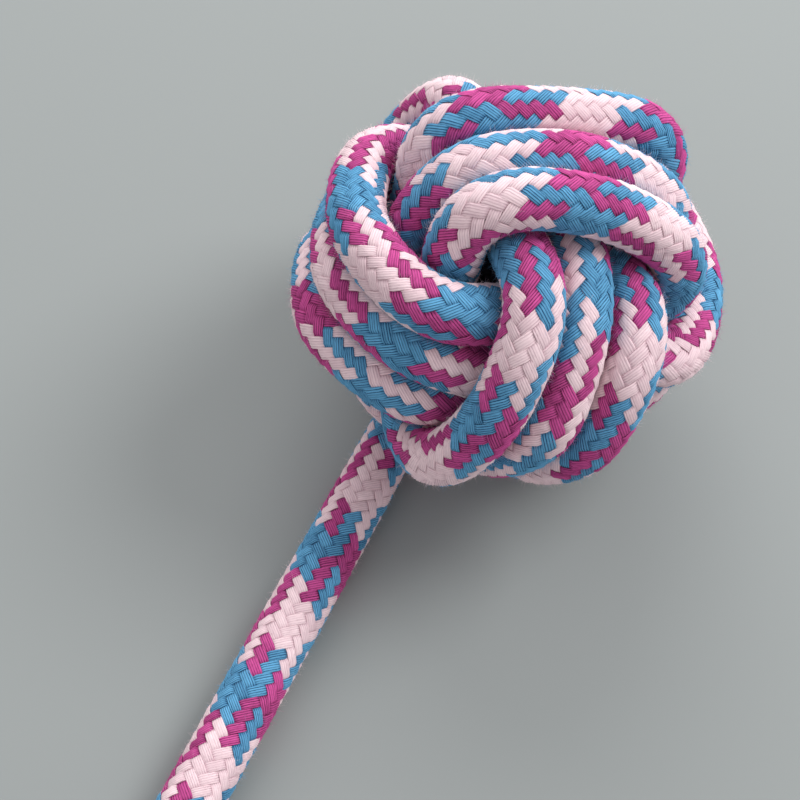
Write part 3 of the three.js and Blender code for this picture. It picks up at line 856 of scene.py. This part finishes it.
for piece in ballPieces:
    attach(piece, "ball")
    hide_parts("ball_rope")
bendsWithSwing(nearBraid)
bendsWithTail(farBraid)
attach(knotBraid, "tail_far")
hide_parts("tail_cover_near", "ball_rope")
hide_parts("tail_cover_far", "tail_cover_near")
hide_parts("stopper_knot", "tail_cover_far")


# The filler yarns inside the braid, seen only as dark slits between floats: their grey is darkened
# as painted shade

core = {
    "inset": 1.25, "every": 2, "sidesEvery": 2,
    "from": 2,                  # mm from the buried end
    "shortBy": 9,               # mm from the frayed end, where the tassel's yarns take over
}


def corePiece(name, first, last):
    made = skinObject(name, core["inset"], first, last, core["every"], core["sidesEvery"])
    made.data.materials.append(fillerCottonWithPaintedShade)
    return made


ballCore = corePiece("ball_core", core["from"], nearRing)
nearCore = corePiece("tail_core_near", nearRing, farRing)
farCore = corePiece("tail_core_far", farRing, knotRing)
knotCore = corePiece("knot_core", knotRing, len(ropeLine) - core["shortBy"])
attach(ballCore, "ball")
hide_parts("ball_rope")
bendsWithSwing(nearCore)
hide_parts("tail_filler_near")
bendsWithTail(farCore)
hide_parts("tail_filler_far")
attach(knotCore, "tail_far")
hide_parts("stopper_knot")
print("cores laid")


# The stuffing: waste cotton yarn wound into a ball, in mm and turns

stuffing = {
    "radius": 15.7, "turns": 90, "stepsPerTurn": 30, "yarnRadius": 0.55, "sides": 6,
    "precession": 0.061, "nodding": 0.023, "leastTilt": 0.25, "tilts": 1.2,
}


def woundBall():
    t = np.arange(stuffing["turns"] * stuffing["stepsPerTurn"]) / stuffing["stepsPerTurn"]
    spin = 2 * math.pi * t
    about = 2 * math.pi * stuffing["precession"] * t
    tilt = stuffing["leastTilt"] + stuffing["tilts"] * np.sin(
        2 * math.pi * stuffing["nodding"] * t) ** 2
    level = np.stack([-np.sin(about), np.cos(about), np.zeros_like(t)], axis=1)
    steep = np.stack([-np.cos(tilt) * np.cos(about), -np.cos(tilt) * np.sin(about),
                      np.sin(tilt)], axis=1)
    line = ballCentre + stuffing["radius"] * (
        level * np.cos(spin)[:, None] + steep * np.sin(spin)[:, None])
    outward, aside = turnedFrames(line, 0, unit(line[0] - ballCentre))
    turns = 2 * math.pi * np.arange(stuffing["sides"]) / stuffing["sides"]
    around = (outward[:, None] * np.cos(turns)[None, :, None]
              + aside[:, None] * np.sin(turns)[None, :, None])
    points = line[:, None] + around * stuffing["yarnRadius"]
    made = meshObject("stuffing_ball_wound", points.reshape(-1, 3),
                      tubeFaces(len(line), stuffing["sides"]))
    # Its yarn is the filler's, darkened as painted shade for inside the ball
    made.data.materials.append(fillerCottonWithPaintedShade)
    return made


stuffingBall = woundBall()
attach(stuffingBall, "ball")
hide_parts("stuffing_ball")


# The tassel: the rope's own yarns, frayed out past the knot, in mm

tassel = {
    "tuckedIn": 6,              # how far inside the braid the yarns are first seen
    "yarns": 150, "length": 39.6, "startRadius": 3.9, "mouthWidth": 29, "mouthHeight": 15,
    "openShare": 0.85, "shortest": 0.8, "yarnRadius": 0.55, "waviness": 5.0,
    "waveLength": 9, "wavesApart": 3.7, "stations": 15, "sides": 6, "seed": 3,
    "colourFrom": {"Magenta": -1.0, "Blue": 0.27, "White": 0.56, "Filler": 0.9},  # by chance
}


def plainYarn():
    # One yarn as a unit shape: u along from 0 to 1, and a round section
    count, sides = tassel["stations"], tassel["sides"]
    turns = 2 * math.pi * np.arange(sides) / sides
    points = [(u, math.cos(a), math.sin(a)) for u in np.linspace(0, 1, count) for a in turns]
    return meshObject("plainYarn", np.array(points) / mm, tubeFaces(count, sides))


def tasselTree():
    # Every yarn leaves the knot at its own place in the bundle and wanders to the open end
    tree, add, given = newTree("frayedYarns", {
        "Geometry": ["Source"], "Object": ["Yarn shape"], "Int": ["Yarns", "Seed"],
        "Vector": ["Start"],
        "Float": ["Length", "Start radius", "Mouth width", "Mouth height", "Open by",
                  "Shortest", "Yarn radius", "Waviness", "Wave length"],
        "Material": tassel["colourFrom"]}, "Tassel")
    loose, number = numberedCopies(add, given["Yarn shape"], given["Yarns"], 0.0)
    spot = add("GeometryNodeInputPosition")
    parts = add("ShaderNodeSeparateXYZ", {0: spot}).outputs
    chance = chancesOf(add, number, given["Seed"], 0.0, 3)

    # Its length, and how far the bundle has opened there
    lengthShare = add("ShaderNodeMapRange",
                      {0: chance[0], 1: 0.0, 2: 1.0, 3: given["Shortest"], 4: 1.0})
    reached = add(mathNode, {0: parts["X"], 1: lengthShare}, operation="MULTIPLY")
    run = add(mathNode, {0: reached, 1: given["Length"]}, operation="MULTIPLY")
    opened = add("ShaderNodeMapRange", {0: run, 1: 0.0, 2: given["Open by"], 3: 0.0, 4: 1.0},
                 interpolation_type="SMOOTHSTEP")
    halves = [add(mathNode, {0: given[name], 1: 0.5}, operation="MULTIPLY")
              for name in ("Mouth width", "Mouth height")]
    reach = [add("ShaderNodeMapRange",
                 {0: opened, 1: 0.0, 2: 1.0, 3: given["Start radius"], 4: half})
             for half in halves]

    # Its place in the bundle: spread evenly by the golden angle
    later = add(mathNode, {0: number, 1: 0.5}, operation="ADD")
    filled = add(mathNode, {0: later, 1: given["Yarns"]}, operation="DIVIDE")
    out = add(mathNode, {0: filled}, operation="SQRT")
    turn = add(mathNode, {0: number, 1: math.pi * (3 - math.sqrt(5))}, operation="MULTIPLY")
    aside = add(mathNode, {0: turn}, operation="COSINE")
    above = add(mathNode, {0: turn}, operation="SINE")
    asideShare = add(mathNode, {0: aside, 1: out}, operation="MULTIPLY")
    aboveShare = add(mathNode, {0: above, 1: out}, operation="MULTIPLY")

    # How it wanders, more the further it is from the knot
    waves = add(mathNode, {0: run, 1: given["Wave length"]}, operation="DIVIDE")
    apart = add(mathNode, {0: number, 1: tassel["wavesApart"]}, operation="MULTIPLY")
    along = add("ShaderNodeCombineXYZ", {0: waves, 1: apart})
    noise = add("ShaderNodeTexNoise", {"Vector": along, "Scale": 1.0, "Detail": 1.0})
    centred = add("ShaderNodeVectorMath", {0: noise.outputs["Color"], 1: (0.5, 0.5, 0.5)},
                  operation="SUBTRACT")
    loosened = add(mathNode, {0: opened, 1: given["Waviness"]}, operation="MULTIPLY")
    wandered = add("ShaderNodeVectorMath", {0: centred, "Scale": loosened}, operation="SCALE")
    strayed = add("ShaderNodeSeparateXYZ", {0: wandered}).outputs
    start = add("ShaderNodeSeparateXYZ", {0: given["Start"]}).outputs
    sideways = add(mathNode, {0: asideShare, 1: reach[0], 2: strayed["X"]},
                   operation="MULTIPLY_ADD")
    upward = add(mathNode, {0: aboveShare, 1: reach[1], 2: strayed["Z"]}, operation="MULTIPLY_ADD")
    axis = add("ShaderNodeMapRange", {0: opened, 1: 0.0, 2: 1.0, 3: start["Z"], 4: halves[1]})
    height = add(mathNode, {0: upward, 1: axis}, operation="ADD")
    rested = add(mathNode, {0: height, 1: given["Yarn radius"]}, operation="MAXIMUM")
    x = add(mathNode, {0: sideways, 1: start["X"]}, operation="ADD")
    y = add(mathNode, {0: start["Y"], 1: run}, operation="SUBTRACT")
    xRound = add(mathNode, {0: parts["Y"], 1: given["Yarn radius"], 2: x},
                 operation="MULTIPLY_ADD")
    zRound = add(mathNode, {0: parts["Z"], 1: given["Yarn radius"], 2: rested},
                 operation="MULTIPLY_ADD")
    there = add("ShaderNodeCombineXYZ", {0: xRound, 1: y, 2: zRound})
    metres = add("ShaderNodeVectorMath", {0: there, "Scale": mm}, operation="SCALE")

    # Its height round the yarn gives painted light on its upper side and painted shade below in
    # the finish
    thread = add("ShaderNodeCombineXYZ", {0: run, 1: parts["Y"], 2: number})
    tone = add("ShaderNodeCombineXYZ", {0: chance[2], 1: parts["Z"]})
    for name, value, kind in (("thread", thread, "FLOAT_VECTOR"), ("tone", tone, "FLOAT_VECTOR"),
                              ("colour", chance[1], "FLOAT")):
        loose = add("GeometryNodeStoreNamedAttribute",
                    {"Geometry": loose, "Name": name, "Value": value}, data_type=kind,
                    domain="POINT")
    shown = add("GeometryNodeSetPosition", {"Geometry": loose, "Position": metres})
    picked = add("GeometryNodeInputNamedAttribute", {"Name": "colour"}, data_type="FLOAT")
    for name, least in tassel["colourFrom"].items():
        chosen = add(mathNode, {0: picked, 1: least}, operation="GREATER_THAN")
        shown = add("GeometryNodeSetMaterial",
                    {"Geometry": shown, "Selection": chosen, "Material": given[name]})
    add("NodeGroupOutput", {"Tassel": shown})
    return tree


yarnShape = plainYarn()
seedPoint = meshObject("seedPoint", ballCentre[None], [])
tasselStart = shift + np.array([
    -tying["tailAside"], tassel["tuckedIn"] - knotEnd - tying["meetingGap"], knotHeight])
frayedTassel = grown("frayed_tassel_yarns", seedPoint, tasselTree(), {
    "Yarn shape": yarnShape, "Yarns": tassel["yarns"], "Start": tasselStart,
    "Length": tassel["length"], "Start radius": tassel["startRadius"],
    "Mouth width": tassel["mouthWidth"], "Mouth height": tassel["mouthHeight"],
    "Open by": tassel["length"] * tassel["openShare"], "Shortest": tassel["shortest"],
    "Yarn radius": tassel["yarnRadius"], "Waviness": tassel["waviness"],
    "Wave length": float(tassel["waveLength"]), "Seed": tassel["seed"],
    "Filler": fillerCottonWithPaintedShade, **yarns})
bpy.data.objects.remove(yarnShape)
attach(frayedTassel, "tail_far")
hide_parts("frayed_tassel")
print("tassel frayed:", len(frayedTassel.data.polygons), "faces")


# The tail's two stretches as paths, end to end, of which nothing is kept

def cordOf(first, last):
    path = ropeLine[first:last + 1:parting["cordStep"]] * mm
    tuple(path[0])
    lengthsAlong(path)[-1]


cordOf(nearRing, farRing)
cordOf(farRing, knotRing)


# Lint: short fibres that stand off the floats, each the colour of its yarn

lint = {
    "perSquareMm": 1.9, "length": 1.5, "radius": 0.02, "leastShare": 0.2, "mostShare": 1.2,
    "lean": 1.2,                # radians each way from upright
    "hiddenWithin": 27,         # mm from the ball's middle
    "exposed": 2.0,             # mm each way from a float's middle
    "outerFace": 0.3,           # of a ribbon's half thickness, above which it is
    "clearance": 0.1,           # from the floor
    "bent": 0.3,                # of a hair's length, how far aside its tip is
    "sides": 3,
    "seed": 2,
    "colours": ("#C5649B", "#7FB2D6", "#F4DFE5"),
    "patch": 2,                 # mm over which the lint is paler or darker
    "patchNoise": (0.3, 0.7), "patchTone": (0.85, 1.1),
}


def hairShape():
    # A fibre that tapers to a point, leaning a little
    sides = lint["sides"]
    turns = 2 * math.pi * np.arange(sides) / sides
    points = [(lint["radius"] * math.cos(a), lint["radius"] * math.sin(a), 0) for a in turns]
    points.append((lint["bent"] * lint["length"], 0, lint["length"]))
    return meshObject(
        "hairShape", np.array(points),
        [tuple(reversed(range(sides)))] + [(k, (k + 1) % sides, sides) for k in range(sides)])


def lintTree():
    tree, add, given = newTree("lint", {
        "Geometry": ["Braid"], "Object": ["Hair shape"], "Int": ["Seed"],
        "Vector": ["Ball middle"],
        "Float": ["Density", "Least size", "Most size", "Lean", "Hidden within", "Exposed",
                  "Outer face", "Clearance"],
        "Material": dyes}, "Lint")

    # Only on the outer face of what shows of a float, and not deep in the ball
    place = add("GeometryNodeInputPosition")
    reach = add("ShaderNodeVectorMath", {0: place, 1: given["Ball middle"]},
                operation="DISTANCE").outputs["Value"]
    shown = add(mathNode, {0: reach, 1: given["Hidden within"]}, operation="GREATER_THAN")
    thread = add("GeometryNodeInputNamedAttribute", {"Name": "thread"}, data_type="FLOAT_VECTOR")
    run = add("ShaderNodeSeparateXYZ", {0: thread}).outputs["X"]
    off = add(mathNode, {0: run}, operation="ABSOLUTE")
    free = add(mathNode, {0: off, 1: given["Exposed"]}, operation="LESS_THAN")
    tone = add("GeometryNodeInputNamedAttribute", {"Name": "tone"}, data_type="FLOAT_VECTOR")
    level = add("ShaderNodeSeparateXYZ", {0: tone}).outputs["Y"]
    outer = add(mathNode, {0: level, 1: given["Outer face"]}, operation="GREATER_THAN")
    bothOf = add(mathNode, {0: shown, 1: free}, operation="MULTIPLY")
    allOf = add(mathNode, {0: bothOf, 1: outer}, operation="MULTIPLY")
    density = add(mathNode, {0: allOf, 1: given["Density"]}, operation="MULTIPLY")
    spread = add("GeometryNodeDistributePointsOnFaces",
                 {"Mesh": given["Braid"], "Density": density, "Seed": given["Seed"]})
    shape = add("GeometryNodeObjectInfo", {"Object": given["Hair shape"]})
    size = add("FunctionNodeRandomValue", {"Min": given["Least size"], "Max": given["Most size"]},
               data_type="FLOAT")
    hairs = add("GeometryNodeInstanceOnPoints",
                {"Points": spread.outputs["Points"], "Instance": shape.outputs["Geometry"],
                 "Rotation": spread.outputs["Rotation"], "Scale": size})
    back = add(mathNode, {0: given["Lean"], 1: -1.0}, operation="MULTIPLY")
    least = add("ShaderNodeCombineXYZ", {0: back, 1: back})
    most = add("ShaderNodeCombineXYZ", {0: given["Lean"], 1: given["Lean"], 2: 2 * math.pi})
    lean = add("FunctionNodeRandomValue", {"Min": least, "Max": most}, data_type="FLOAT_VECTOR")
    turned = add("GeometryNodeRotateInstances", {"Instances": hairs, "Rotation": lean})
    loose = add("GeometryNodeRealizeInstances", {"Geometry": turned})
    parts = add("ShaderNodeSeparateXYZ", {0: place}).outputs
    height = add(mathNode, {0: parts["Z"], 1: given["Clearance"]}, operation="MAXIMUM")
    there = add("ShaderNodeCombineXYZ", {0: parts["X"], 1: parts["Y"], 2: height})
    raised = add("GeometryNodeSetPosition", {"Geometry": loose, "Position": there})
    add("NodeGroupOutput", {"Lint": dyedShape(add, raised, given)})
    return tree


def lintFibre(name, colour):
    # Loose cotton fibre: matt and pale, it gives the rope's edges a soft bloom
    made, add = newMaterial(name)
    spot = add("ShaderNodeTexCoord").outputs["Object"]
    uneven = add("ShaderNodeTexNoise", {"Vector": spot, "Scale": 1 / lint["patch"] / mm})
    noise, tones = lint["patchNoise"], lint["patchTone"]
    bloom = add("ShaderNodeMapRange",
                {0: uneven.outputs[0], 1: noise[0], 2: noise[1], 3: tones[0], 4: tones[1]})
    dyed = add("ShaderNodeVectorMath", {0: linear(colour)[:3], "Scale": bloom}, operation="SCALE")
    shader = add("ShaderNodeBsdfPrincipled",
                 {"Base Color": dyed, "Roughness": 0.8, "Specular IOR Level": 0.2})
    add("ShaderNodeOutputMaterial", {"Surface": shader})
    return made


hair = hairShape()
lintGrowth = lintTree()
lintFibres = {name: lintFibre(name.lower() + "CottonLint", colour)
              for name, colour in zip(dyes, lint["colours"])}


def lintPiece(name, braided):
    return grown(name, braided, lintGrowth, {
        "Hair shape": hair, "Density": lint["perSquareMm"] / mm ** 2, "Seed": lint["seed"],
        "Least size": lint["leastShare"], "Most size": lint["mostShare"], "Lean": lint["lean"],
        "Ball middle": ballCentre * mm, "Hidden within": lint["hiddenWithin"] * mm,
        "Exposed": lint["exposed"], "Outer face": lint["outerFace"],
        "Clearance": lint["clearance"] * mm, **lintFibres})


ballLint = [lintPiece(f"ball_lint_{i + 1}", piece) for i, piece in enumerate(ballPieces)]
nearLint = lintPiece("tail_lint_near", nearBraid)
farLint = lintPiece("tail_lint_far", farBraid)
knotLint = lintPiece("knot_lint", knotBraid)
bpy.data.objects.remove(hair)
bpy.data.objects.remove(seedPoint)
for piece in ballLint:
    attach(piece, "ball")
bendsWithSwing(nearLint)
bendsWithTail(farLint)
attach(knotLint, "tail_far")
print("lint grown:", sum(len(p.data.polygons) for p in ballLint) // 4, "fibres on the ball,",
      sum(len(p.data.polygons) for p in (nearLint, farLint, knotLint)) // 4, "on the tail")


# The floor and the light

studio = {
    "floor": "#909594", "floorReach": 4000,     # mm each way
    "lamps": {"keyLamp": ((500, 620, 800), 520, 7.4),       # place and size in mm, and watts
              "fillLamp": ((-400, 800, 600), 800, 5.5)},
    "air": "#F7F5F7", "airStrength": 0.76,
}


def paperFloor():
    # Uncoated paper, grey with a little green: quite matt, so it shows no gloss
    made, add = newMaterial("paleMattPaper")
    shader = add("ShaderNodeBsdfPrincipled",
                 {"Base Color": linear(studio["floor"]), "Roughness": 0.9})
    add("ShaderNodeOutputMaterial", {"Surface": shader})
    corners = np.array([[-1, -1, 0], [1, -1, 0], [1, 1, 0], [-1, 1, 0]])
    floor = meshObject("floor", corners * studio["floorReach"], [(0, 1, 2, 3)])
    floor.data.materials.append(made)


def addLamp(name, place, size, watts):
    data = bpy.data.lights.new(name, "AREA")
    data.shape, data.size, data.energy = "DISK", size * mm, watts
    back = unit(np.array(place) - ballCentre)
    pointObject(name, data, unit(np.cross(np.array([0, 0, 1]), back)), back, place)


paperFloor()
for name, (place, size, watts) in studio["lamps"].items():
    addLamp(name, place, size, watts)
world = bpy.data.worlds.new("studio")
bpy.context.scene.world = world
world.use_nodes = True
air = world.node_tree.nodes["Background"]
air.inputs["Color"].default_value = linear(studio["air"])
air.inputs["Strength"].default_value = studio["airStrength"]
bpy.context.scene.view_settings.view_transform = "Standard"
